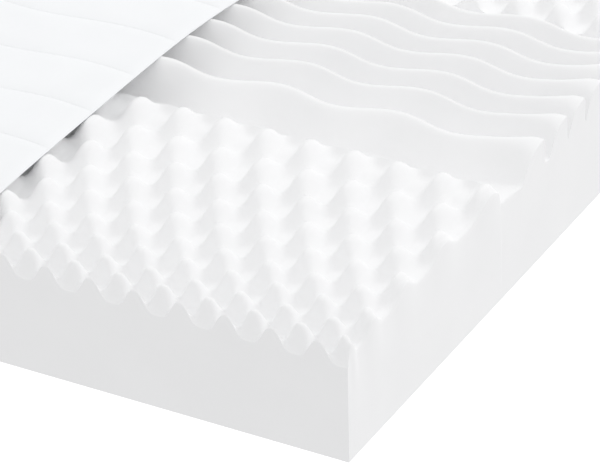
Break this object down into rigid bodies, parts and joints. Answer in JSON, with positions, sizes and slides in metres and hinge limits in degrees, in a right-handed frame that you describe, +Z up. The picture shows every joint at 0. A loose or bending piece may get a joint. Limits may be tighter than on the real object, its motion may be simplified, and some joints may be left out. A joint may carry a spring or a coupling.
{
  "type": "foam mattress with a profiled top and a turned-back quilted cover",
  "caption": "Single-bed foam mattress core with an egg-crate and wave-cut top, partly covered by a white quilted cover that hangs down one long side.",
  "frame": {"origin": "the middle of the footprint, on the surface that the mattress lies on", "axes": "+X across the mattress towards the bare long side, +Y along it from the foot end to the head end, +Z up"},
  "size_m": [0.909, 2, 0.1938],
  "materials": {
    "foam": "matt open-celled white foam",
    "cover": "matt white quilted knit"
  },
  "bodies": {
    "root": {"foam_core": "foam", "quilted_cover": "cover"}
  },
  "joints": []
}
